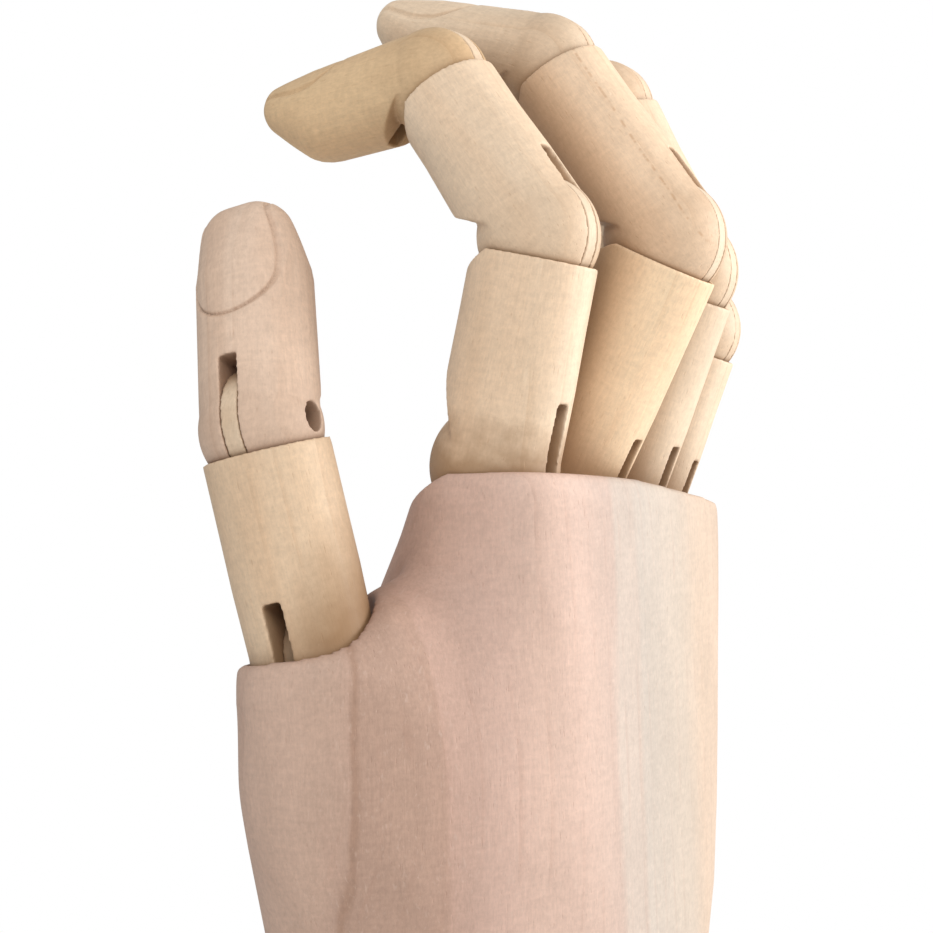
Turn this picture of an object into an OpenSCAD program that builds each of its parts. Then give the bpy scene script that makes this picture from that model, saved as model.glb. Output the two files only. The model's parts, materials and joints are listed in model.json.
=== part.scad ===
// Wooden artist's hand mannequin: a right hand on a short forearm stand.
// Every finger segment is a turned wooden barrel with a ball at its base. The ball sits in a
// socket in the segment below, where a glued wooden tongue stands up into the ball's slot.
// A steel screw through ball and tongue is the hinge pin.
//
// Frame: +Z up, +X towards the thumb, +Y towards the back of the hand, -Y towards the palm.
// The origin is the centre of the stand's flat underside. Units are millimetres.
//
// A segment's own frame has its hinge centre at the origin, its tip along +Z, its hinge axis
// along X and its palm side along -Y, so a positive bend about X curls it towards the palm.

/* [Stand and wrist] */
// Radius of the forearm stand at its foot
stand_foot_r = 27; // [25:0.5:32]
// Radius of the forearm stand at its top rim
stand_top_r = 24; // [23:0.5:28]
// Height of the wrist's ball centre above the table
wrist_z = 72; // [66:1:84]
// Radius of the wooden ball under the palm
wrist_ball_r = 23; // [21:0.5:24]
// Thickness of the eye of the bolt that holds the wrist
eye_thickness = 5; // [4:0.5:7]

/* [Palm] */
// Height of the index knuckle's hinge above the table
knuckle_z = 184; // [178:1:190]
// Spacing of the knuckles across the hand
knuckle_pitch = 22.8; // [22.6:0.1:24]
// Drop of each knuckle below its neighbour on the thumb side
knuckle_drop = 1.2; // [0:0.1:3]
// How far each knuckle sits towards the back of the hand, index finger first
knuckle_back = [0, 2.2, 1.8, -2.2]; // [-3:0.1:3]
// Half width of the palm block
palm_half_w = 47; // [45.5:0.5:50]
// Thickness of the palm block behind the knuckle line
palm_back = 18.4; // [17:0.1:20]
// Thickness of the palm block in front of the knuckle line, at its rim
palm_front = 16.5; // [15:0.1:18]
// Height of the palm's top rim over the index hinge
palm_rim = -1.5; // [-3:0.1:0.5]

/* [Index finger] */
// Turn of the index finger about its own length, negative towards the thumb
index_twist = -6; // [-15:1:5]
// Rest bend of the index knuckle, middle joint and end joint
index_bend = [-12.5, 48, 64.5]; // [-25:1:85]
// Distances from hinge to hinge, and from the last hinge to the tip
index_length = [39.8, 35, 34.2]; // [28:0.5:50]
// Ball radii at the knuckle, middle joint and end joint
index_ball = [11.2, 10.6, 9.4]; // [8:0.1:12]

/* [Middle finger] */
// Turn of the middle finger about its own length
middle_twist = 0; // [-5:1:5]
// Rest bend of the middle knuckle, middle joint and end joint
middle_bend = [-26, 61, 41]; // [-30:1:85]
// Distances from hinge to hinge, and from the last hinge to the tip
middle_length = [46.5, 39.5, 34]; // [28:0.5:50]
// Ball radii at the knuckle, middle joint and end joint
middle_ball = [11.2, 10.9, 9.6]; // [8:0.1:12]

/* [Ring finger] */
// Turn of the ring finger about its own length
ring_twist = 0; // [-5:1:5]
// Rest bend of the ring knuckle, middle joint and end joint
ring_bend = [-21, 47, 45]; // [-30:1:85]
// Distances from hinge to hinge, and from the last hinge to the tip
ring_length = [43, 34.5, 33]; // [28:0.5:50]
// Ball radii at the knuckle, middle joint and end joint
ring_ball = [11, 10.6, 9.4]; // [8:0.1:12]

/* [Little finger] */
// Turn of the little finger about its own length, positive away from the thumb
little_twist = 4; // [-5:1:15]
// Rest bend of the little knuckle, middle joint and end joint
little_bend = [-20.5, 50, 42]; // [-30:1:85]
// Distances from hinge to hinge, and from the last hinge to the tip
little_length = [35.5, 28, 28]; // [24:0.5:45]
// Ball radii at the knuckle, middle joint and end joint
little_ball = [10.6, 10, 9]; // [8:0.1:12]

/* [Thumb] */
// Place of the thumb's knuckle hinge from the index knuckle hinge
thumb_offset = [27, -20.2, -32.5]; // [-40:0.5:40]
// Lean of the thumb's seat: towards the palm side, then towards the thumb side
thumb_lean = [11.5, 7]; // [-10:1:45]
// Turn of the thumb about its length, so that its nail faces away from the fingers
thumb_twist = -90; // [-120:1:-60]
// Rest bend of the thumb knuckle and end joint
thumb_bend = [0, 21]; // [-25:1:85]
// Distances from the knuckle to the end joint, and from there to the tip
thumb_length = [38.7, 39.8]; // [28:0.5:50]
// Ball radii at the thumb knuckle and end joint
thumb_ball = [10.8, 10.4]; // [9:0.1:13]

/* [Joints] */
// Gap between a ball and its socket
socket_gap = 0.2; // [0.1:0.05:0.5]
// Width of the slot in each ball
slot_w = 3.4; // [2.6:0.1:4]
// Play on each side of a tongue in its slot
tongue_play = 0.12; // [0.05:0.01:0.3]
// Radius of a hinge screw's shank
shank_r = 1.25; // [1:0.05:1.6]
// Running clearance around a shank in its tongue
shank_clearance = 0.05; // [0.01:0.01:0.1]
// Radius of the counterbore that sinks a screw head
counterbore_r = 2.55; // [2.2:0.05:3]

/* [Hidden] */
$fn = 64;
hull_fn = 32;
glue_gap = 0.05;
wood_light = "#e6cfae";
wood_pink = "#d8bba9";
steel = "#b9bbbd";
felt = "#4a4643";

// One record per finger: knuckle place, lean of its seat, twist, bends, lengths, ball radii,
// the sides of its screw heads along the hinge axes, the top of its slots above the hinge, and
// its tip: the pad's radius, the end's radius, the end's place towards the back and its half
// spread across. The slots' top and the tip are fractions of the ball radius.
function knuckle(i) = [
    knuckle_pitch * (1.5 - i),
    knuckle_back[i],
    knuckle_z - knuckle_drop * i,
];
HEADS = [-1, -1, -1];
SLOT = 1.13;
TIP = [0.9, 0.44, 0.3, 0.16];
INDEX = [knuckle(0), [0, 0], index_twist, index_bend, index_length, index_ball, HEADS, SLOT, TIP];
MIDDLE = [knuckle(1), [0, 0], middle_twist, middle_bend, middle_length, middle_ball, HEADS, SLOT, TIP];
RING = [knuckle(2), [0, 0], ring_twist, ring_bend, ring_length, ring_ball, HEADS, SLOT, TIP];
LITTLE = [knuckle(3), [0, 0], little_twist, little_bend, little_length, little_ball, HEADS, SLOT, TIP];
THUMB = [
    knuckle(0) + thumb_offset, thumb_lean, thumb_twist, thumb_bend, thumb_length, thumb_ball,
    [1, -1], 0.98, [0.96, 0.56, 0.16, 0.18],
];
DIGITS = [INDEX, MIDDLE, RING, LITTLE, THUMB];

// A barrel is a little slimmer than its own ball, so that the two meet at a clean edge.
barrel_fit = 0.975;
// Swell of a barrel at its middle
swell = 0.15;
// Wall of a socket's rim outside the next ball
rim_wall = 0.35;
// Depth of a socket's rim below the hinge, as a fraction of the ball radius
rim_drop = 0.35;
// The rim's palm side slopes down from this fraction of the radius
bevel_start = 0.38;
bevel_angle = 35;
// The notch above a ball: height on the palm side, and slope of its face
notch_top = 1.2;
notch_slope = 50;
knuckle_notch_top = 1.6;
knuckle_notch_slope = 62;
// A tongue's rounded end and its stem, as fractions of the ball radius
tongue_end = 0.98;
knuckle_tongue_end = 0.72;
stem_half = 0.6;
stem_depth = 1.55;
// The fullest part of a fingertip's pad, as a fraction of its length from the hinge
pad_place = 0.63;
// Screw: head, recess and the solid wood left beyond its point
head_r = 2.3;
head_h = 1.7;
head_seat = 0.54;
point_wall = 2.6;

// ---- Shared shapes ----

// Moves its children into a digit's knuckle frame, before any bend.
module at_seat(d) {
    translate(d[0]) rotate([d[1][0], d[1][1], 0]) rotate([0, 0, d[2]]) children();
}

// Moves its children into the frame of a digit's segment s, at its rest bend.
module at_segment(d, s) {
    if (s == 0) {
        at_seat(d) rotate([d[3][0], 0, 0]) children();
    } else {
        at_segment(d, s - 1) translate([0, 0, d[4][s - 1]]) rotate([d[3][s], 0, 0]) children();
    }
}

// A prism along X from a list of [y, z] points.
module side_prism(points, width) {
    rotate([90, 0, 90]) linear_extrude(height = width, center = true) polygon(points);
}

// The wedge cut away above a ball on its palm side, so that the joint can curl.
module notch(r, top, slope) {
    inner = 0.3;
    outer = 1.4;
    side_prism([
        [-outer * r, (top + (outer - 1) * tan(slope)) * r],
        [-inner * r, (top - (1 - inner) * tan(slope)) * r],
        [-inner * r, -0.1 * r],
        [-outer * r, -0.1 * r],
    ], 3 * r);
}

// The slot through a ball, open at its bottom, back and palm sides.
module slot(r, slot_top) {
    translate([-slot_w / 2, -2 * r, -2 * r]) cube([slot_w, 4 * r, (2 + slot_top) * r]);
}

// The screw's holes in the two cheeks of a ball, with the head's counterbore on one side.
module screw_holes(r, side) {
    seat = head_seat * r;
    scale_side = side < 0 ? 180 : 0;
    rotate([0, 0, scale_side]) rotate([0, 90, 0]) {
        translate([0, 0, seat]) cylinder(h = r, r = counterbore_r);
        translate([0, 0, -(r - point_wall)]) cylinder(h = r - point_wall + seat + 1, r = shank_r + 0.01);
    }
}

// The socket in the top of a segment or in the palm, with the glued tongue's pocket.
module socket(r) {
    rotate([0, -90, 0]) sphere(r + socket_gap);
    pocket_w = slot_w - 2 * tongue_play + 2 * glue_gap;
    translate([-pocket_w / 2, -stem_half * r - glue_gap, -stem_depth * r - glue_gap])
        cube([pocket_w, 2 * (stem_half * r + glue_gap), stem_depth * r]);
}

// The slope on the palm side of a segment's rim, in the next hinge's frame.
module rim_bevel(r) {
    near = bevel_start - 0.2;
    far = 1.5;
    function slope_z(y) = -rim_drop - (y - bevel_start) * tan(bevel_angle);
    side_prism([
        [-near * r, slope_z(near) * r],
        [-far * r, slope_z(far) * r],
        [-far * r, r],
        [-near * r, r],
    ], 3 * r);
}

// A turned barrel with its ball, from its own hinge to the rim of the next socket.
module barrel(len, r, next_r, top, slope, side, slot_top) {
    h = len - rim_drop * next_r;
    r1 = barrel_fit * r;
    r2 = next_r + rim_wall;
    difference() {
        union() {
            sphere(r);
            difference() {
                rotate_extrude() polygon([
                    [0, 0],
                    [r1, 0],
                    [(r1 + r2) / 2 + swell, 0.4 * h],
                    [r2, h - next_r],
                    [r2, h],
                    [0, h],
                ]);
                notch(r, top, slope);
            }
        }
        translate([0, 0, len]) {
            socket(next_r);
            rim_bevel(next_r);
        }
        slot(r, slot_top);
        screw_holes(r, side);
    }
}

// A fingertip with its ball: the back runs straight to the tip and the pad rounds up to it.
module fingertip(len, r, side, slot_top, tip) {
    pad_r = tip[0] * r;
    end_r = tip[1] * r;
    spread = tip[3] * r;
    difference() {
        union() {
            sphere(r);
            difference() {
                hull() {
                    cylinder(h = 0.5 * r, r = barrel_fit * r, $fn = hull_fn);
                    translate([0, 0, pad_place * len]) sphere(pad_r, $fn = hull_fn);
                    for (x = [-spread, spread]) {
                        translate([x, tip[2] * r, len - end_r]) sphere(end_r, $fn = hull_fn);
                    }
                }
                notch(r, notch_top, notch_slope);
            }
        }
        slot(r, slot_top);
        screw_holes(r, side);
    }
}

// A wooden tongue: a plate with a rounded end about the hinge and a stem glued below it.
module tongue(r, end) {
    w = slot_w - 2 * tongue_play;
    difference() {
        union() {
            rotate([0, 90, 0]) cylinder(h = w, r = end * r, center = true);
            translate([-w / 2, -stem_half * r, -stem_depth * r])
                cube([w, 2 * stem_half * r, stem_depth * r]);
        }
        rotate([0, 90, 0]) cylinder(h = 2 * w, r = shank_r + shank_clearance, center = true);
    }
}

// A cross-head screw along the hinge axis.
module screw(r, side) {
    seat = head_seat * r;
    turn = side < 0 ? 180 : 0;
    recess = 0.7;
    rotate([0, 0, turn]) rotate([0, 90, 0]) difference() {
        union() {
            translate([0, 0, -(r - point_wall) + 0.4]) cylinder(h = r - point_wall - 0.4 + seat, r = shank_r);
            translate([0, 0, seat]) cylinder(h = head_h, r1 = head_r, r2 = 0.8 * head_r);
        }
        for (a = [0, 90]) {
            rotate([0, 0, a]) translate([-1.3, -recess / 2, seat + head_h - 1]) cube([2.6, recess, 2]);
        }
    }
}

// ---- The five digits ----

module proximal(d) {
    color(wood_light) at_segment(d, 0)
        barrel(d[4][0], d[5][0], d[5][1], knuckle_notch_top, knuckle_notch_slope, d[6][0], d[7]);
}

module middle_bone(d) {
    color(wood_light) at_segment(d, 1)
        barrel(d[4][1], d[5][1], d[5][2], notch_top, notch_slope, d[6][1], d[7]);
}

module distal(d) {
    last = len(d[4]) - 1;
    color(wood_light) at_segment(d, last) fingertip(d[4][last], d[5][last], d[6][last], d[7], d[8]);
}

// Tongue n stands in the piece below hinge n.
module digit_tongue(d, n) {
    color(wood_light) {
        if (n == 1) {
            at_seat(d) tongue(d[5][0], knuckle_tongue_end);
        } else {
            at_segment(d, n - 2) translate([0, 0, d[4][n - 2]]) tongue(d[5][n - 1], tongue_end);
        }
    }
}

// Screw n is fixed in the ball above hinge n.
module digit_screw(d, n) {
    color(steel) at_segment(d, n - 1) screw(d[5][n - 1], d[6][n - 1]);
}

// ---- Palm ----

// Stations down the palm block: height from the index knuckle, half width, back and front
// half thickness, as fractions of the driving sizes.
PALM_STATIONS = [
    [0, 0.975, 0.94, 0.94],
    [-1.2, 0.99, 0.975, 0.98],
    [-4, 1, 1, 1.03],
    [-10, 1, 1.01, 1.2],
    [-19, 1, 1.01, 1.5],
    [-29, 1, 1, 1.72],
    [-44, 0.99, 1, 1.74],
    [-59, 0.97, 1, 1.7],
    [-74, 0.92, 1, 1.62],
    [-87, 0.8, 1, 1.5],
    [-97, 0.67, 1.02, 1.37],
    [-105, 0.58, 1.1, 1.28],
];
// A section's corners: 1 gives an oval, and less gives squarer corners
section_power = 0.62;
section_steps = 64;

function signed_power(v, p) = sign(v) * pow(abs(v), p);

// One closed section of the palm block.
function palm_section(s) = [
    for (i = [0:section_steps - 1])
        let (
            a = 360 * i / section_steps,
            depth = sin(a) > 0 ? s[2] * palm_back : s[3] * palm_front
        )
        [
            s[1] * palm_half_w * signed_power(cos(a), section_power),
            depth * signed_power(sin(a), section_power),
            knuckle_z + palm_rim + s[0],
        ]
];

// The palm block: its sections joined into one smooth skin.
module palm_block() {
    n = section_steps;
    last = len(PALM_STATIONS) - 1;
    points = [for (s = PALM_STATIONS) each palm_section(s)];
    skin = [for (k = [0:last - 1], i = [0:n - 1])
        let (j = (i + 1) % n, p = k * n)
            each [[p + i, p + n + j, p + n + i], [p + i, p + j, p + n + j]]];
    top = [[for (i = [n - 1:-1:0]) i]];
    bottom = [[for (i = [0:n - 1]) last * n + i]];
    polyhedron(points = points, faces = concat(skin, top, bottom));
}

// The ball of the thumb, from the thumb's seat down to the wrist, with the web that rises from
// the seat to the side of the palm.
module thumb_mound() {
    seat_r = 12.9;
    hull() {
        translate(THUMB[0] + [0, 0, -0.6]) rotate([6, 3, 0])
            cylinder(h = 1, r = seat_r, center = true, $fn = hull_fn);
        translate(THUMB[0] + [0, 0.5, -3]) rotate([6, 3, 0])
            cylinder(h = 1, r = seat_r + 0.6, center = true, $fn = hull_fn);
        translate(THUMB[0] + [0, 0.8, -20]) sphere(13.6, $fn = hull_fn);
        translate([50, -20, knuckle_z - 78]) sphere(13.5, $fn = hull_fn);
        translate([14, -10, knuckle_z - 96]) sphere(13, $fn = hull_fn);
        translate([24, -14, knuckle_z - 46]) sphere(14, $fn = hull_fn);
        translate([39, 5, knuckle_z - 48]) sphere(7.5, $fn = hull_fn);
        translate([31, 4, knuckle_z - 90]) sphere(7, $fn = hull_fn);
        translate([41.2, -4, knuckle_z - 20]) sphere(6, $fn = hull_fn);
    }
}

// Room for a proximal segment to swing back, seen from its own hinge.
module knuckle_relief(d, bend) {
    at_seat(d) rotate([bend, 0, 0]) cylinder(h = 40, r = barrel_fit * d[5][0] + 0.25);
}

// The slope along the palm side of the knuckle rim, so that the fingers can close.
module knuckle_bevel() {
    start = 4;
    reach = 40;
    slope = 27;
    above = 10;
    side_prism([
        [-start, 0],
        [-reach, -(reach - start) * tan(slope)],
        [-reach, above],
        [-start, above],
    ], 3 * palm_half_w);
}

// What is cut off above the knuckles: the rim falls with them towards the little finger.
module rim_cut() {
    fall = atan(knuckle_drop / knuckle_pitch);
    w = 2 * palm_half_w;
    above = 10;
    translate([knuckle_pitch / 2, 0, knuckle_z + palm_rim]) {
        knuckle_bevel();
        rotate([0, -fall, 0]) {
            knuckle_bevel();
            translate([-w, -w, 0]) cube([w, 2 * w, above]);
        }
    }
}

module palm() {
    swing_back = -30;
    thumb_swing = 12;
    color(wood_pink) difference() {
        union() {
            difference() {
                palm_block();
                rim_cut();
            }
            thumb_mound();
            translate([0, 0, wrist_z]) sphere(wrist_ball_r);
        }
        for (d = DIGITS) {
            at_seat(d) socket(d[5][0]);
            knuckle_relief(d, 0);
            knuckle_relief(d, d == THUMB ? -thumb_swing : swing_back);
        }
        knuckle_relief(THUMB, thumb_swing);
        wrist_slot();
    }
}

// ---- Wrist ----

bolt_r = 2.5;
pin_r = 2;
pin_half = 16;
eye_r = 7;
foot_bore_r = 9;
foot_bore_h = 26;
pad_r = 20;
pad_h = 1.2;

// The slot and pin hole in the wrist ball.
module wrist_slot() {
    w = eye_thickness + 0.8;
    reach = 16;
    translate([0, 0, wrist_z]) {
        translate([-w / 2, -reach, -40]) cube([w, 2 * reach, 40 + eye_r + 1]);
        rotate([0, 90, 0]) cylinder(h = 2 * pin_half + 0.4, r = pin_r + 0.01, center = true);
    }
}

module forearm_stand() {
    foot_edge = 2;
    rim_z = wrist_z - 10;
    waist_r = 0.92 * stand_top_r;
    color(wood_pink) difference() {
        rotate_extrude() polygon([
            [0, 0],
            [stand_foot_r - foot_edge, 0],
            [stand_foot_r, foot_edge],
            [stand_foot_r, 8],
            [waist_r + 1, 30],
            [stand_top_r, rim_z],
            [0, rim_z],
        ]);
        translate([0, 0, wrist_z]) sphere(wrist_ball_r + 0.3);
        translate([0, 0, -1]) cylinder(h = wrist_z, r = bolt_r + 0.08);
        translate([0, 0, -1]) cylinder(h = foot_bore_h + 1, r = foot_bore_r);
        translate([0, 0, -1]) cylinder(h = pad_h + glue_gap + 1, r = pad_r + 0.2);
    }
}

// A felt disc let into the foot, over the spring's bore.
module foot_pad() {
    color(felt) cylinder(h = pad_h, r = pad_r);
}

module eye_bolt() {
    color(steel) difference() {
        union() {
            translate([0, 0, wrist_z]) rotate([0, 90, 0])
                cylinder(h = eye_thickness, r = eye_r, center = true);
            translate([0, 0, 4]) cylinder(h = wrist_z - 8, r = bolt_r);
        }
        translate([0, 0, wrist_z]) rotate([0, 90, 0]) cylinder(h = 20, r = pin_r + 0.06, center = true);
    }
}

module wrist_pin() {
    color(steel) translate([0, 0, wrist_z]) rotate([0, 90, 0])
        cylinder(h = 2 * pin_half, r = pin_r, center = true);
}

module spring_washer() {
    color(steel) translate([0, 0, 10]) difference() {
        cylinder(h = 1.5, r = 7.5);
        translate([0, 0, -1]) cylinder(h = 4, r = bolt_r + 0.3);
    }
}

module wrist_nut() {
    color(steel) translate([0, 0, 5.9]) difference() {
        cylinder(h = 4, r = 4.6, $fn = 6);
        translate([0, 0, -1]) cylinder(h = 6, r = bolt_r + 0.02);
    }
}

// A round wire wound into a coil: rings of points along a helix, joined into one skin.
module wrist_spring() {
    wire_r = 0.8;
    coil_r = 5.2;
    turns = 6;
    steps = 20;
    sides = 8;
    low = 11.6 + wire_r;
    high = foot_bore_h - wire_r - 0.1;
    rings = turns * steps;
    points = [for (i = [0:rings]) let (a = 360 * i / steps, z = low + (high - low) * i / rings)
        for (k = [0:sides - 1]) let (b = 360 * k / sides)
            [(coil_r + wire_r * cos(b)) * cos(a), (coil_r + wire_r * cos(b)) * sin(a), z + wire_r * sin(b)]];
    skin = [for (i = [0:rings - 1], k = [0:sides - 1])
        let (n = (k + 1) % sides, p = i * sides)
            each [[p + k, p + n, p + sides + n], [p + k, p + sides + n, p + sides + k]]];
    first_cap = [[for (k = [sides - 1:-1:0]) k]];
    last_cap = [[for (k = [0:sides - 1]) rings * sides + k]];
    color(steel) polyhedron(points = points, faces = concat(skin, first_cap, last_cap));
}

forearm_stand();
foot_pad();
eye_bolt();
wrist_spring();
spring_washer();
wrist_nut();
wrist_pin();
palm();
proximal(INDEX);  // index_proximal
middle_bone(INDEX);  // index_middle
distal(INDEX);  // index_distal
proximal(MIDDLE);  // middle_proximal
middle_bone(MIDDLE);  // middle_middle
distal(MIDDLE);  // middle_distal
proximal(RING);  // ring_proximal
middle_bone(RING);  // ring_middle
distal(RING);  // ring_distal
proximal(LITTLE);  // little_proximal
middle_bone(LITTLE);  // little_middle
distal(LITTLE);  // little_distal
proximal(THUMB);  // thumb_proximal
distal(THUMB);  // thumb_distal
digit_tongue(INDEX, 1);  // index_tongue_1
digit_tongue(INDEX, 2);  // index_tongue_2
digit_tongue(INDEX, 3);  // index_tongue_3
digit_tongue(MIDDLE, 1);  // middle_tongue_1
digit_tongue(MIDDLE, 2);  // middle_tongue_2
digit_tongue(MIDDLE, 3);  // middle_tongue_3
digit_tongue(RING, 1);  // ring_tongue_1
digit_tongue(RING, 2);  // ring_tongue_2
digit_tongue(RING, 3);  // ring_tongue_3
digit_tongue(LITTLE, 1);  // little_tongue_1
digit_tongue(LITTLE, 2);  // little_tongue_2
digit_tongue(LITTLE, 3);  // little_tongue_3
digit_tongue(THUMB, 1);  // thumb_tongue_1
digit_tongue(THUMB, 2);  // thumb_tongue_2
digit_screw(INDEX, 1);  // index_screw_1
digit_screw(INDEX, 2);  // index_screw_2
digit_screw(INDEX, 3);  // index_screw_3
digit_screw(MIDDLE, 1);  // middle_screw_1
digit_screw(MIDDLE, 2);  // middle_screw_2
digit_screw(MIDDLE, 3);  // middle_screw_3
digit_screw(RING, 1);  // ring_screw_1
digit_screw(RING, 2);  // ring_screw_2
digit_screw(RING, 3);  // ring_screw_3
digit_screw(LITTLE, 1);  // little_screw_1
digit_screw(LITTLE, 2);  // little_screw_2
digit_screw(LITTLE, 3);  // little_screw_3
digit_screw(THUMB, 1);  // thumb_screw_1
digit_screw(THUMB, 2);  // thumb_screw_2
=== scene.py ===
"""Looks of the wooden artist's hand: softened wood pieces, carved nails, materials, light and camera.

Lengths are in metres, in the CAD frame: +Z up, +X towards the thumb, +Y towards the back of the hand.
A finger piece's own frame has its hinge at the origin, +Z towards its tip and +Y towards its back.
"""

import json
import math

import bpy
import numpy as np
from mathutils import Matrix, Vector, kdtree


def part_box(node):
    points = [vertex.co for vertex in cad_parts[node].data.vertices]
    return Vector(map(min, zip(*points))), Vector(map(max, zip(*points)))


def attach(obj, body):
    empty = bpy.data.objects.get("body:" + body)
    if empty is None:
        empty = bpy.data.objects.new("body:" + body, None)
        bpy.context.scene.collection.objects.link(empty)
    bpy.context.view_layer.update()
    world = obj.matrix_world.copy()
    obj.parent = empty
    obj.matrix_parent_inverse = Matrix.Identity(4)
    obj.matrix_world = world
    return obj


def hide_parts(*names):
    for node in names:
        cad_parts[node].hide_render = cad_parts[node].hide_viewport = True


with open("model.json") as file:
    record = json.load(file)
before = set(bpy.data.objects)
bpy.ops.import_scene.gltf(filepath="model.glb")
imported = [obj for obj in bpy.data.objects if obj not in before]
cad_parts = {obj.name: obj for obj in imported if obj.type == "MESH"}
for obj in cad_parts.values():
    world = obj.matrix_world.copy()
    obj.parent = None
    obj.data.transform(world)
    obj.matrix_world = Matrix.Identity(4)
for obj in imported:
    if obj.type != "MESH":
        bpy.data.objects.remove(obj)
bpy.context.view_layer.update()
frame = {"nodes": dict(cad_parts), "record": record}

MM = 0.001
JOINTS = {j["name"]: j for j in frame["record"]["behaviour"]["joints"]}
BODY_OF = {n: b for b, names in frame["record"]["behaviour"]["bodies"].items() for n in names}
FINGERS = ("index", "middle", "ring", "little")
SEGMENTS = {d: ("proximal", "middle", "distal") for d in FINGERS}
SEGMENTS["thumb"] = ("proximal", "distal")
HINGES = {
    "proximal": "knuckle",
    "middle": "middle_joint",
    "distal": "end_joint",
}


# ---- Places ----


def hinge_of(digit, segment):
    """Where a segment's own hinge is, and the hinge's axis."""
    joint = JOINTS[f"{digit}_{HINGES[segment]}"]
    return Vector(joint["pos_m"]), Vector(joint["axis"]).normalized()


def tip_of(node):
    """The middle of the end of a fingertip that is farthest from its hinge."""
    digit, segment = node.rsplit("_", 1)
    hinge, _ = hinge_of(digit, segment)
    points = [v.co for v in frame["nodes"][node].data.vertices]
    reach = max((p - hinge).length for p in points)
    far = [p for p in points if (p - hinge).length > 0.93 * reach]
    return sum(far, Vector()) / len(far)


def segment_frame(digit, segment):
    """A segment's own frame as a matrix that takes its coordinates to the CAD frame, and its length."""
    hinge, across = hinge_of(digit, segment)
    thumb_side_palm = Vector((1, -1, 0))
    if across.dot(thumb_side_palm) < 0:
        across = -across
    names = SEGMENTS[digit]
    if segment == names[-1]:
        end = tip_of(f"{digit}_{segment}")
    else:
        end, _ = hinge_of(digit, names[names.index(segment) + 1])
    along = end - hinge
    along -= across * along.dot(across)
    length = along.length
    along.normalize()
    back = along.cross(across)
    place = Matrix((across, back, along)).transposed().to_4x4()
    place.translation = hinge
    return place, length


# ---- Meshes ----


def coordinates(mesh):
    """A mesh's points as an array."""
    flat = np.empty(3 * len(mesh.vertices), np.float32)
    mesh.vertices.foreach_get("co", flat)
    return flat.reshape(-1, 3)


def set_coordinates(mesh, points):
    mesh.vertices.foreach_set("co", points.astype(np.float32).ravel())
    mesh.update()


def normals(mesh):
    flat = np.empty(3 * len(mesh.vertices), np.float32)
    mesh.vertices.foreach_get("normal", flat)
    return flat.reshape(-1, 3)


def baked_modifiers(obj):
    """Replaces obj's mesh by what its modifiers make of it."""
    graph = bpy.context.evaluated_depsgraph_get()
    mesh = bpy.data.meshes.new_from_object(obj.evaluated_get(graph))
    obj.modifiers.clear()
    old = obj.data
    obj.data = mesh
    mesh.name = obj.name
    bpy.data.meshes.remove(old)


def softened_copy(node, name, pitch, rounds):
    """A copy of a CAD node as one dense skin whose sharp edges are sanded round."""
    piece = bpy.data.objects.new(name, frame["nodes"][node].data.copy())
    bpy.context.scene.collection.objects.link(piece)
    piece.data.materials.clear()
    remesh = piece.modifiers.new("Skin", "REMESH")
    remesh.mode = "VOXEL"
    remesh.voxel_size = pitch
    remesh.use_smooth_shade = True
    sand = piece.modifiers.new("Sanding", "SMOOTH")
    sand.factor = 0.5
    sand.iterations = rounds
    baked_modifiers(piece)
    return piece


def thinned(piece, ratio):
    """Fewer triangles where the surface is plain."""
    thin = piece.modifiers.new("Thin", "DECIMATE")
    thin.ratio = ratio
    baked_modifiers(piece)
    piece.data.polygons.foreach_set("use_smooth", [True] * len(piece.data.polygons))


def store_grain(piece, place, offset, tilt):
    """Keeps each point's place in the piece's own frame, for the wood's grain: z runs along the fibres."""
    turn = Matrix.Rotation(tilt[0], 4, "X") @ Matrix.Rotation(tilt[1], 4, "Y")
    to_local = np.array(turn @ place.inverted())
    points = coordinates(piece.data) @ to_local[:3, :3].T + to_local[:3, 3] + np.array(offset)
    layer = piece.data.attributes.new("grain", "FLOAT_VECTOR", "POINT")
    layer.data.foreach_set("vector", points.astype(np.float32).ravel())


def smooth_step(x, low, high):
    t = np.clip((x - low) / (high - low), 0, 1)
    return t * t * (3 - 2 * t)


# ---- Carving ----

NAIL_START = 0.465
NAIL_HALF_WIDTH = 0.78
NAIL_TAPER = 0.34
GROOVE_DEPTH = 0.42 * MM
GROOVE_HALF = 0.4 * MM
NAIL_SINK = 0.14 * MM
NAIL_SINK_REACH = 2.2 * MM


def carve_nail(piece, place, length, radius):
    """Cuts a nail's outline into the back of a fingertip: a round base and two sides that run to the tip."""
    to_local = np.array(place.inverted())
    local = coordinates(piece.data) @ to_local[:3, :3].T + to_local[:3, 3]
    x, y, z = local.T
    half = NAIL_HALF_WIDTH * radius
    base = NAIL_START * length
    centre = base + half
    beyond = np.clip((z - centre) / (length - centre), 0, 1)
    at_base = np.hypot(x, z - centre) - half
    at_sides = np.abs(x) - half * (1 - NAIL_TAPER * beyond**2)
    edge = np.where(z < centre, at_base, at_sides)
    on_back = smooth_step(y, -0.1 * radius, 0.2 * radius)
    groove = np.clip(1 - (edge / GROOVE_HALF) ** 2, 0, 1)
    inside = (1 - smooth_step(-edge, 0, NAIL_SINK_REACH)) * (edge < 0)
    depth = on_back * (GROOVE_DEPTH * groove + NAIL_SINK * inside)
    moved = coordinates(piece.data) - normals(piece.data) * depth[:, None]
    set_coordinates(piece.data, moved)


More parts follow.
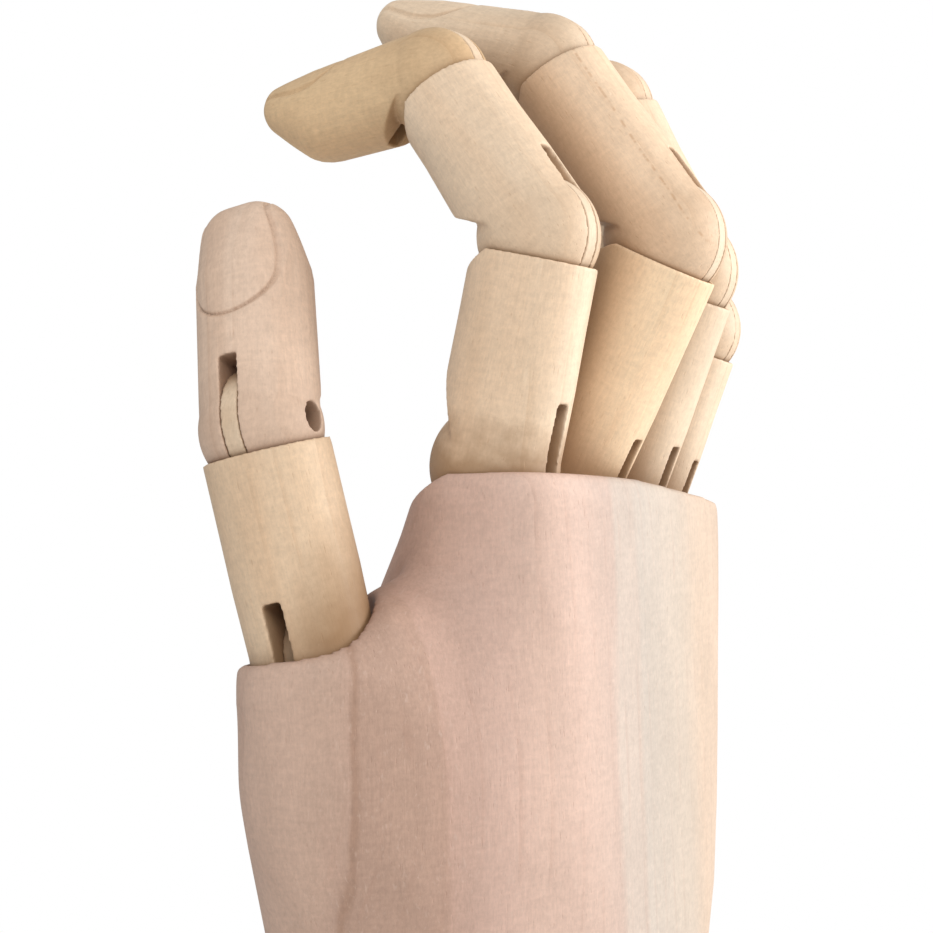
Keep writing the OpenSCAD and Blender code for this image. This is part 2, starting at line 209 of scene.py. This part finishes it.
def fill_out(piece, place, length, amount):
    """Makes a fingertip blunter: its pad and sides stand out more towards the tip, its back does not."""
    turn = np.array(place.inverted())
    local = coordinates(piece.data) @ turn[:3, :3].T + turn[:3, 3]
    facing = normals(piece.data) @ turn[:3, :3].T
    facing[:, 2] = 0
    facing[:, 1] = np.where(facing[:, 1] > 0, 0.2 * facing[:, 1], facing[:, 1])
    push = amount * smooth_step(local[:, 2], 0.64 * length, 0.9 * length)
    moved = coordinates(piece.data) + (facing * push[:, None]) @ turn[:3, :3]
    set_coordinates(piece.data, moved)


def blend_crease(piece, low, high, keep_off, keep_radius, radius, rounds):
    """Works a crease into a hollow curve, within a box but not within keep_radius of the point keep_off."""
    mesh = piece.data
    points = coordinates(mesh)
    facing = normals(mesh)
    edges = np.empty(2 * len(mesh.edges), np.int64)
    mesh.edges.foreach_get("vertices", edges)
    a, b = edges.reshape(-1, 2).T
    run = points[b] - points[a]
    bend = np.einsum("ij,ij->i", facing[b] - facing[a], run)
    span = np.einsum("ij,ij->i", run, run)
    hollow = bend < -120 * span
    inside = np.all((points > low) & (points < high), axis=1)
    inside &= np.linalg.norm(points - np.array(keep_off), axis=1) > keep_radius
    hit = np.unique(np.concatenate([a[hollow], b[hollow]]))
    hit = hit[inside[hit]]
    tree = kdtree.KDTree(len(hit))
    for i, k in enumerate(hit):
        tree.insert(points[k], i)
    tree.balance()
    group = piece.vertex_groups.new(name="Crease")
    reach = np.array([tree.find(p)[2] if near else 1.0 for p, near in zip(points, inside)])
    depth_in_box = np.minimum(points - low, high - points).min(axis=1)
    weight = (1 - smooth_step(reach, 0.25 * radius, radius)) * smooth_step(depth_in_box, 0, 0.4 * radius)
    for k in np.nonzero(weight > 0.01)[0]:
        group.add([int(k)], float(weight[k]), "REPLACE")
    work = piece.modifiers.new("Crease", "SMOOTH")
    work.factor = 0.9
    work.iterations = rounds
    work.vertex_group = "Crease"
    baked_modifiers(piece)
    piece.vertex_groups.clear()


# ---- Materials ----


class Nodes:
    """Short names for building a material's node tree."""

    def __init__(self, name):
        self.material = bpy.data.materials.new(name)
        self.material.use_nodes = True
        self.tree = self.material.node_tree
        self.tree.nodes.clear()

    def add(self, kind, **settings):
        node = self.tree.nodes.new(kind)
        for key, value in settings.items():
            setattr(node, key, value)
        return node

    def link(self, source, target):
        if hasattr(source, "outputs"):
            source = source.outputs[0]
        self.tree.links.new(source, target)

    def put(self, node, name, value):
        """Links or sets one input of a node."""
        if isinstance(value, (int, float, tuple)):
            node.inputs[name].default_value = value
        else:
            self.link(value, node.inputs[name])

    def math(self, operation, a, b=0.0, clamp=False):
        node = self.add("ShaderNodeMath", operation=operation, use_clamp=clamp)
        self.put(node, 0, a)
        self.put(node, 1, b)
        return node

    def scaled(self, vector, scale):
        node = self.add("ShaderNodeVectorMath", operation="MULTIPLY")
        self.put(node, 0, vector)
        node.inputs[1].default_value = scale
        return node

    def noise(self, vector, scale, detail=3.0, rough=0.55, distortion=0.0):
        node = self.add("ShaderNodeTexNoise")
        self.link(vector, node.inputs["Vector"])
        node.inputs["Scale"].default_value = scale
        node.inputs["Detail"].default_value = detail
        node.inputs["Roughness"].default_value = rough
        node.inputs["Distortion"].default_value = distortion
        return node

    def remap(self, value, low, high, to_low=0.0, to_high=1.0):
        node = self.add("ShaderNodeMapRange", clamp=True)
        self.link(value, node.inputs["Value"])
        for key, number in zip(("From Min", "From Max", "To Min", "To Max"), (low, high, to_low, to_high)):
            node.inputs[key].default_value = number
        return node

    def ramp(self, value, stops, ease=True):
        node = self.add("ShaderNodeValToRGB")
        self.link(value, node.inputs[0])
        ramp = node.color_ramp
        ramp.interpolation = "EASE" if ease else "LINEAR"
        while len(ramp.elements) < len(stops):
            ramp.elements.new(1.0)
        for element, (place, colour) in zip(ramp.elements, stops):
            element.position = place
            element.color = (*colour, 1)
        return node

    def mix(self, factor, a, b, blend="MIX"):
        node = self.add("ShaderNodeMix", data_type="RGBA", blend_type=blend)
        self.put(node, 0, factor)
        for index, value in ((6, a), (7, b)):
            if isinstance(value, tuple):
                node.inputs[index].default_value = (*value[:3], 1)
            else:
                self.link(value, node.inputs[index])
        return node.outputs[2]


def linear(red, green, blue):
    """A display colour, 0 to 255 a channel, as linear light."""
    return tuple(((c / 255 + 0.055) / 1.055) ** 2.4 if c > 10 else c / 255 / 12.92 for c in (red, green, blue))


def wood(name, pale, mid, dark, bands, seed, stain_and_shade=0.0, shade_side=0.0, figure=0.22, seam=None):
    """Sanded bare wood, with painted shade in hollows and near other parts. bands gives colour bands across the
    piece, as (place in metres, colour), partly the wood's own and partly painted shade.
    """
    n = Nodes(name)
    grain = n.add("ShaderNodeAttribute", attribute_name="grain").outputs["Vector"]
    shift = n.add("ShaderNodeVectorMath", operation="ADD")
    n.link(grain, shift.inputs[0])
    shift.inputs[1].default_value = (seed * 0.371, seed * 0.213, seed * 0.177)

    # slow wander of the fibres, so that no line is quite straight
    wander = n.noise(n.scaled(shift, (1, 1, 0.35)), 38, detail=2)
    bent = n.add("ShaderNodeVectorMath", operation="ADD")
    n.link(shift, bent.inputs[0])
    n.link(n.scaled(wander.outputs["Color"], (0.0035, 0.0035, 0)), bent.inputs[1])

    # colour bands across the piece, partly growth bands and partly painted shade
    if bands:
        across = n.add("ShaderNodeVectorMath", operation="DOT_PRODUCT")
        n.link(grain, across.inputs[0])
        across.inputs[1].default_value = (math.cos(BAND_ANGLE), -math.sin(BAND_ANGLE), 0)
        rough_edge = n.noise(n.scaled(shift, (1, 1, 0.12)), 60, detail=4)
        push = n.math("MULTIPLY", n.math("SUBTRACT", rough_edge, 0.5), 0.016)
        place = n.math("ADD", across.outputs["Value"], push)
        low, high = bands[0][0], bands[-1][0]
        unit = n.remap(place, low, high)
        base = n.ramp(unit, [((p - low) / (high - low), c) for p, c in bands], ease=False).outputs[0]
    else:
        sheet = n.noise(n.scaled(bent, (1, 0.6, 0.1)), 95, detail=2, distortion=0.6)
        base = n.mix(n.remap(sheet, 0.32, 0.7), pale, mid)

    # growth rings: thin darker lines that run along the piece
    rings = n.add("ShaderNodeTexWave", wave_type="BANDS", bands_direction="X", wave_profile="SAW")
    n.link(n.scaled(bent, (1, 0.55, 0.05)), rings.inputs["Vector"])
    rings.inputs["Scale"].default_value = 62
    rings.inputs["Distortion"].default_value = 5.5
    rings.inputs["Detail"].default_value = 3
    rings.inputs["Detail Scale"].default_value = 1.3
    late = n.remap(rings, 0.80, 1.0, 0, figure)
    fade = n.remap(n.noise(shift, 55, detail=1), 0.4, 0.62)
    base = n.mix(n.math("MULTIPLY", late, fade), base, dark, "MIX")

    # fine fibres and their short pores
    fibre = n.noise(n.scaled(bent, (1, 1, 0.035)), 2600, detail=4, rough=0.7)
    fibre_shade = n.remap(fibre, 0.3, 0.72, 0.95, 1.035)
    base = n.mix(1.0, base, fibre_shade, "MULTIPLY")
    pores = n.add("ShaderNodeTexVoronoi", feature="F1")
    n.link(n.scaled(bent, (1, 1, 0.16)), pores.inputs["Vector"])
    pores.inputs["Scale"].default_value = 1500
    pore = n.remap(pores.outputs["Distance"], 0.10, 0.26, 1, 0)
    flecks = n.noise(shift, 900, detail=1)
    pore = n.math("MULTIPLY", pore, n.remap(flecks, 0.48, 0.62))
    base = n.mix(n.math("MULTIPLY", pore, 0.2), base, dark, "MIX")
    speckle = n.noise(n.scaled(shift, (1, 1, 0.55)), 1500, detail=3, rough=0.75)
    base = n.mix(1.0, base, n.remap(speckle, 0.32, 0.68, 0.92, 1.06), "MULTIPLY")
    ripple = n.noise(n.scaled(shift, (0.6, 0.6, 2.2)), 520, detail=2, distortion=0.3)
    base = n.mix(1.0, base, n.remap(ripple, 0.34, 0.66, 0.965, 1.03), "MULTIPLY")

    # one dark growth line, broken into dashes, at a set distance towards the piece's back
    if seam is not None:
        side = n.add("ShaderNodeSeparateXYZ")
        n.link(grain, side.inputs[0])
        wobble = n.math("MULTIPLY", n.math("SUBTRACT", wander, 0.5), 0.004)
        gap = n.math("ABSOLUTE", n.math("SUBTRACT", n.math("ADD", side.outputs["Y"], wobble), seam))
        dashes = n.noise(n.scaled(shift, (0.2, 0.2, 1)), 900, detail=1)
        line = n.math("MULTIPLY", n.remap(gap, 0.00006, 0.00026, 0.5, 0), n.remap(dashes, 0.43, 0.56))
        base = n.mix(line, base, dark, "MIX")

    # cloudy patches and pale ray flecks
    cloud = n.noise(n.scaled(shift, (1, 1, 0.5)), 75, detail=3)
    base = n.mix(1.0, base, n.remap(cloud, 0.3, 0.7, 0.93, 1.05), "MULTIPLY")
    rays = n.noise(n.scaled(bent, (0.5, 1.7, 0.6)), 1150, detail=2, distortion=0.4)
    base = n.mix(n.remap(rays, 0.60, 0.76, 0, 0.25), base, pale, "MIX")

    # handling: worn pale edges; and painted shade, darker in hollows and close to other surfaces
    shape = n.add("ShaderNodeNewGeometry").outputs["Pointiness"]
    base = n.mix(n.remap(shape, 0.53, 0.60, 0, 0.30), base, pale, "MIX")
    # painted shade: darker where the surface curves into a hollow
    painted_shade_colour = tuple(0.55 * c for c in dark)
    base = n.mix(n.remap(shape, 0.47, 0.40, 0, 0.55), base, painted_shade_colour, "MIX")
    # painted shade: darker where surfaces within 14 mm hide the room's light
    occlusion = n.add("ShaderNodeAmbientOcclusion", samples=8, inside=False)
    occlusion.inputs["Distance"].default_value = 14 * MM
    base = n.mix(n.remap(occlusion.outputs["AO"], 0.97, 0.3, 0, 0.8), base, painted_shade_colour, "MIX")
    # darker towards a segment's foot: a stain on most pieces, and painted shade on the thumb's proximal, climbing
    # its side towards the palm
    if stain_and_shade:
        height = n.add("ShaderNodeSeparateXYZ")
        n.link(grain, height.inputs[0])
        spread = n.noise(shift, 210, detail=3)
        level = n.math("ADD", height.outputs["Z"], n.math("MULTIPLY", spread, -0.006 if shade_side else -0.012))
        level = n.math("ADD", level, n.math("MULTIPLY", height.outputs["X"], shade_side))
        stain_and_shade_mask = n.remap(level, -0.012 if shade_side else -0.006, 0.006 if shade_side else 0.004, stain_and_shade, 0)
        base = n.mix(stain_and_shade_mask, base, tuple(0.62 * c for c in dark), "MIX")

    shader = n.add("ShaderNodeBsdfPrincipled")
    n.link(base, shader.inputs["Base Color"])
    rough = n.math("ADD", n.remap(fibre, 0.3, 0.7, 0.50, 0.66), n.math("MULTIPLY", pore, 0.15))
    n.link(rough, shader.inputs["Roughness"])
    shader.inputs["Specular IOR Level"].default_value = 0.32
    relief = n.math("SUBTRACT", n.math("MULTIPLY", fibre, 0.6), pore)
    bump = n.add("ShaderNodeBump")
    bump.inputs["Strength"].default_value = 0.35
    bump.inputs["Distance"].default_value = 0.00012
    n.link(relief, bump.inputs["Height"])
    n.link(bump, shader.inputs["Normal"])
    output = n.add("ShaderNodeOutputMaterial")
    n.link(shader, output.inputs["Surface"])
    return n.material


def metal(name, colour, rough, scratch_scale):
    """Zinc-plated steel: dull, with fine scratches and cloudy tarnish."""
    n = Nodes(name)
    place = n.add("ShaderNodeTexCoord").outputs["Object"]
    tarnish = n.noise(place, 260, detail=4)
    dull = tuple(0.6 * c for c in colour)
    base = n.mix(n.remap(tarnish, 0.4, 0.68), colour, dull)
    scratches = n.noise(n.scaled(place, (1, 1, 9)), scratch_scale, detail=3)
    shader = n.add("ShaderNodeBsdfPrincipled")
    n.link(base, shader.inputs["Base Color"])
    shader.inputs["Metallic"].default_value = 1
    n.link(n.remap(scratches, 0.3, 0.7, rough - 0.1, rough + 0.15), shader.inputs["Roughness"])
    bump = n.add("ShaderNodeBump")
    bump.inputs["Strength"].default_value = 0.2
    bump.inputs["Distance"].default_value = 0.00005
    n.link(scratches, bump.inputs["Height"])
    n.link(bump, shader.inputs["Normal"])
    output = n.add("ShaderNodeOutputMaterial")
    n.link(shader, output.inputs["Surface"])
    return n.material


BAND_ANGLE = math.radians(35)
CREAM = (linear(247, 224, 196), linear(240, 211, 180), linear(203, 160, 118))
ROSY = (linear(240, 212, 189), linear(231, 199, 174), linear(196, 153, 122))
PALM = (linear(228, 205, 190), linear(218, 184, 167), linear(182, 140, 120))
# How strong the darkening at a segment's foot is, and how much higher it climbs on the side that faces -X: a
# stain on the index, painted shade where the thumb meets the palm.
STAINS_AND_SHADE = {
    "index_proximal": (0.8, 0),
    "thumb_proximal": (0.92, 1.5),
}
# Tints that multiply a piece's colours; index_distal's darker, warmer tint is painted warm shade.
TINT_AND_SHADE = {
    "index_distal": (0.93, 0.85, 0.70),
    "middle_proximal": (1.12, 1.07, 0.99),
    "middle_middle": (0.99, 0.96, 0.94),
    "thumb_proximal": (0.95, 0.92, 0.88),
}
# Colour bands across the palm, from its back (low) to its thumb's side (high): partly the wood's own colour,
# partly painted shade, chiefly the darker run from 40 to 61 mm.
PALM_BANDS_AND_SHADE = [
    (-60 * MM, linear(216, 190, 168)),
    (-27 * MM, linear(213, 190, 169)),
    (-17 * MM, linear(205, 189, 173)),
    (-3 * MM, linear(200, 187, 175)),
    (-1 * MM, linear(200, 183, 170)),
    (6 * MM, linear(204, 187, 174)),
    (8.5 * MM, linear(203, 178, 164)),
    (13 * MM, linear(208, 181, 166)),
    (19 * MM, linear(218, 188, 172)),
    (27 * MM, linear(227, 195, 178)),
    (35 * MM, linear(220, 187, 171)),
    (40 * MM, linear(206, 173, 157)),
    (46 * MM, linear(206, 171, 154)),
    (47 * MM, linear(196, 162, 144)),
    (54 * MM, linear(188, 156, 138)),
    (61 * MM, linear(188, 156, 138)),
    (62.2 * MM, linear(175, 141, 121)),
    (63.4 * MM, linear(198, 166, 148)),
    (67 * MM, linear(206, 175, 156)),
    (80 * MM, linear(220, 189, 170)),
]


# ---- Wood pieces ----

FINGER_PITCH = 0.34 * MM
TIP_PITCH = 0.26 * MM
PALM_PITCH = 0.6 * MM


def finish(piece, node, material):
    piece.data.materials.append(material)
    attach(piece, BODY_OF[node])
    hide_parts(node)


def ball_radius(digit, segment):
    """A segment's ball radius: half the CAD node's reach along its hinge, within its ball."""
    place, _ = segment_frame(digit, segment)
    inverse = place.inverted()
    points = [inverse @ v.co for v in frame["nodes"][f"{digit}_{segment}"].data.vertices]
    return max(p.x for p in points if abs(p.z) < 4 * MM)


def finger_piece(digit, segment, index):
    node = f"{digit}_{segment}"
    place, length = segment_frame(digit, segment)
    is_tip = segment == "distal"
    piece = softened_copy(node, f"wood_{node}", TIP_PITCH if is_tip else FINGER_PITCH, 4)
    if is_tip:
        fill_out(piece, place, length, 0.6 * MM if digit == "thumb" else 0.9 * MM)
        carve_nail(piece, place, length, ball_radius(digit, segment))
    thinned(piece, 0.35)
    lean = 0.02 * math.sin(2.3 * index + 0.7)
    store_grain(piece, place, (0, 0, 0), (lean, -0.6 * lean))
    tones = ROSY if node == "thumb_distal" else CREAM
    drift = 1 + 0.022 * math.sin(1.9 * index)
    # index_distal's tint is painted warm shade
    tint_and_shade = TINT_AND_SHADE.get(node, (1, 1, 1))
    tones = [tuple(min(1, c * w * drift) for c, w in zip(tone, tint_and_shade)) for tone in tones]
    # darkening at the foot: a stain on most segments, painted shade on the thumb's proximal
    stain_and_shade, shade_side = STAINS_AND_SHADE.get(node, (0.2, 0))
    seam = 7.6 * MM if node == "middle_middle" else None
    finish(piece, node, wood(f"wood_{node}", *tones, None, seed=index + 1, stain_and_shade=stain_and_shade,
                              shade_side=shade_side, seam=seam))


def palm_piece():
    piece = softened_copy("palm", "wood_palm", PALM_PITCH, 8)
    low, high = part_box("palm")
    knuckle, _ = hinge_of("index", "proximal")
    thumb, _ = hinge_of("thumb", "proximal")
    wrist = Vector(JOINTS["wrist_tilt"]["pos_m"])
    low_corner = (knuckle.x - 26 * MM, low.y - MM, wrist.z + 20 * MM)
    seat_corner = (high.x + 9 * MM, high.y + MM, thumb.z + 8 * MM)
    blend_crease(piece, low_corner, seat_corner, thumb, 15 * MM, 20 * MM, 900)
    web_corner = (knuckle.x - 26 * MM, knuckle.y - 13 * MM, thumb.z - 10 * MM)
    top_corner = (high.x + MM, high.y + MM, knuckle.z - 6 * MM)
    blend_crease(piece, web_corner, top_corner, thumb, 15 * MM, 14 * MM, 500)
    thinned(piece, 0.4)
    store_grain(piece, Matrix.Identity(4), (13.5 * MM, 0, 0), (0.01, -0.1))
    finish(piece, "palm", wood("wood_palm", *PALM, PALM_BANDS_AND_SHADE, seed=31, figure=0.2))


def stand_piece():
    piece = softened_copy("forearm_stand", "wood_stand", PALM_PITCH, 3)
    thinned(piece, 0.4)
    store_grain(piece, Matrix.Identity(4), (0, 0, 0), (0.02, 0))
    finish(piece, "forearm_stand", wood("wood_stand", *PALM, None, seed=41, figure=0.3))


def tongue_piece(node, index):
    piece = softened_copy(node, f"wood_{node}", 0.3 * MM, 1)
    thinned(piece, 0.3)
    lo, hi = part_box(node)
    place = Matrix.Translation((Vector(lo) + Vector(hi)) / 2)
    store_grain(piece, place, (0, 0, 0), (0, 0))
    tones = [tuple(0.93 * c for c in tone) for tone in CREAM]
    finish(piece, node, wood(f"wood_{node}", *tones, None, seed=50 + index, figure=0.4))


def wood_pieces():
    index = 0
    for digit, segments in SEGMENTS.items():
        for segment in segments:
            finger_piece(digit, segment, index)
            index += 1
    palm_piece()
    stand_piece()
    tongues = [n for n in frame["nodes"] if "_tongue_" in n]
    for k, node in enumerate(sorted(tongues)):
        tongue_piece(node, k)


def felt(name, colour):
    """Pressed felt: matted short fibres."""
    n = Nodes(name)
    place = n.add("ShaderNodeTexCoord").outputs["Object"]
    mat = n.noise(place, 1400, detail=6, rough=0.8, distortion=1.5)
    pale = tuple(1.8 * c for c in colour)
    shader = n.add("ShaderNodeBsdfPrincipled")
    n.link(n.mix(n.remap(mat, 0.35, 0.7), colour, pale), shader.inputs["Base Color"])
    shader.inputs["Roughness"].default_value = 0.95
    bump = n.add("ShaderNodeBump")
    bump.inputs["Distance"].default_value = 0.0004
    n.link(mat, bump.inputs["Height"])
    n.link(bump, shader.inputs["Normal"])
    output = n.add("ShaderNodeOutputMaterial")
    n.link(shader, output.inputs["Surface"])
    return n.material


def small_pieces():
    screw = metal("screw_steel", linear(176, 168, 152), 0.42, 900)
    fitting = metal("fitting_steel", linear(190, 190, 188), 0.34, 700)
    wire = metal("spring_steel", linear(160, 160, 164), 0.3, 1100)
    for name, obj in frame["nodes"].items():
        if "_screw_" in name:
            material = screw
        elif name in ("eye_bolt", "wrist_nut", "wrist_pin", "spring_washer"):
            material = fitting
        elif name == "wrist_spring":
            material = wire
        elif name == "foot_pad":
            material = felt("felt", linear(74, 70, 66))
        else:
            continue
        obj.data.materials.clear()
        obj.data.materials.append(material)


# ---- Stage ----

FLOOR_RADIUS = 0.8
FLOOR_FADE = (0.3, 0.78)


def floor():
    """A round pale floor that fades into the white room."""
    steps = 96
    rim = [(FLOOR_RADIUS * math.cos(2 * math.pi * k / steps), FLOOR_RADIUS * math.sin(2 * math.pi * k / steps), 0)
           for k in range(steps)]
    mesh = bpy.data.meshes.new("floor")
    mesh.from_pydata(rim, [], [tuple(range(steps))])
    obj = bpy.data.objects.new("floor", mesh)
    bpy.context.scene.collection.objects.link(obj)
    n = Nodes("floor")
    place = n.add("ShaderNodeTexCoord").outputs["Object"]
    away = n.add("ShaderNodeVectorMath", operation="LENGTH")
    n.link(place, away.inputs[0])
    paper = n.noise(place, 180, detail=4)
    diffuse = n.add("ShaderNodeBsdfDiffuse")
    n.link(n.mix(n.remap(paper, 0.3, 0.7), (0.86, 0.855, 0.85), (0.89, 0.885, 0.88)), diffuse.inputs["Color"])
    clear = n.add("ShaderNodeBsdfTransparent")
    join = n.add("ShaderNodeMixShader")
    n.link(n.remap(away.outputs["Value"], *FLOOR_FADE), join.inputs[0])
    n.link(diffuse, join.inputs[1])
    n.link(clear, join.inputs[2])
    output = n.add("ShaderNodeOutputMaterial")
    n.link(join, output.inputs["Surface"])
    mesh.materials.append(n.material)


def room(seen, lit):
    """A white surround: seen is how bright the camera sees it, lit how much light it gives."""
    world = bpy.data.worlds.new("room")
    bpy.context.scene.world = world
    world.use_nodes = True
    tree = world.node_tree
    tree.nodes.clear()
    path = tree.nodes.new("ShaderNodeLightPath")
    strength = tree.nodes.new("ShaderNodeMapRange")
    tree.links.new(path.outputs["Is Camera Ray"], strength.inputs["Value"])
    strength.inputs["To Min"].default_value = lit
    strength.inputs["To Max"].default_value = seen
    sky = tree.nodes.new("ShaderNodeBackground")
    sky.inputs["Color"].default_value = (1, 1, 1, 1)
    tree.links.new(strength.outputs[0], sky.inputs["Strength"])
    output = tree.nodes.new("ShaderNodeOutputWorld")
    tree.links.new(sky.outputs[0], output.inputs["Surface"])


def softbox(name, target, azimuth, elevation, distance, size, power, colour):
    """A square area light that faces target from a direction given like the camera's."""
    lamp = bpy.data.lights.new(name, "AREA")
    lamp.size = size
    lamp.energy = power
    lamp.color = colour
    obj = bpy.data.objects.new(name, lamp)
    bpy.context.scene.collection.objects.link(obj)
    towards = direction(azimuth, elevation)
    obj.location = target + towards * distance
    obj.rotation_euler = (-towards).to_track_quat("-Z", "Y").to_euler()


def direction(azimuth, elevation):
    """The unit vector from the object towards a viewer at this azimuth and elevation."""
    a, e = math.radians(azimuth), math.radians(elevation)
    return Vector((math.sin(a) * math.cos(e), -math.cos(a) * math.cos(e), math.sin(e)))


CAMERA_AZIMUTH = 114.5
CAMERA_ELEVATION = -3
CAMERA_DISTANCE = 0.46
CAMERA_ANGLE = 19.62


def camera(knuckle):
    """Looks past the index knuckle from the thumb's side, a little from behind and from below."""
    towards = direction(CAMERA_AZIMUTH, CAMERA_ELEVATION)
    a = math.radians(CAMERA_AZIMUTH)
    right = Vector((math.cos(a), math.sin(a), 0))
    aside = 4.86 * MM
    lens = bpy.data.cameras.new("camera")
    lens.sensor_width = 36
    lens.angle = math.radians(CAMERA_ANGLE)
    lens.clip_start = 0.01
    obj = bpy.data.objects.new("camera", lens)
    obj.location = knuckle + towards * CAMERA_DISTANCE - right * aside
    obj.rotation_euler = (-towards).to_track_quat("-Z", "Y").to_euler()
    bpy.context.scene.collection.objects.link(obj)
    bpy.context.scene.camera = obj


def stage():
    knuckle, _ = hinge_of("index", "proximal")
    floor()
    room(seen=1.0, lit=0.42)
    softbox("key", knuckle, CAMERA_AZIMUTH + 105, 14, 0.9, 0.5, 7.8, (1, 0.985, 0.965))
    softbox("fill", knuckle, CAMERA_AZIMUTH + 2, 34, 1.3, 0.8, 7.6, (1, 0.98, 0.955))
    camera(knuckle)


wood_pieces()
small_pieces()
stage()
bpy.context.scene.view_settings.view_transform = "Standard"
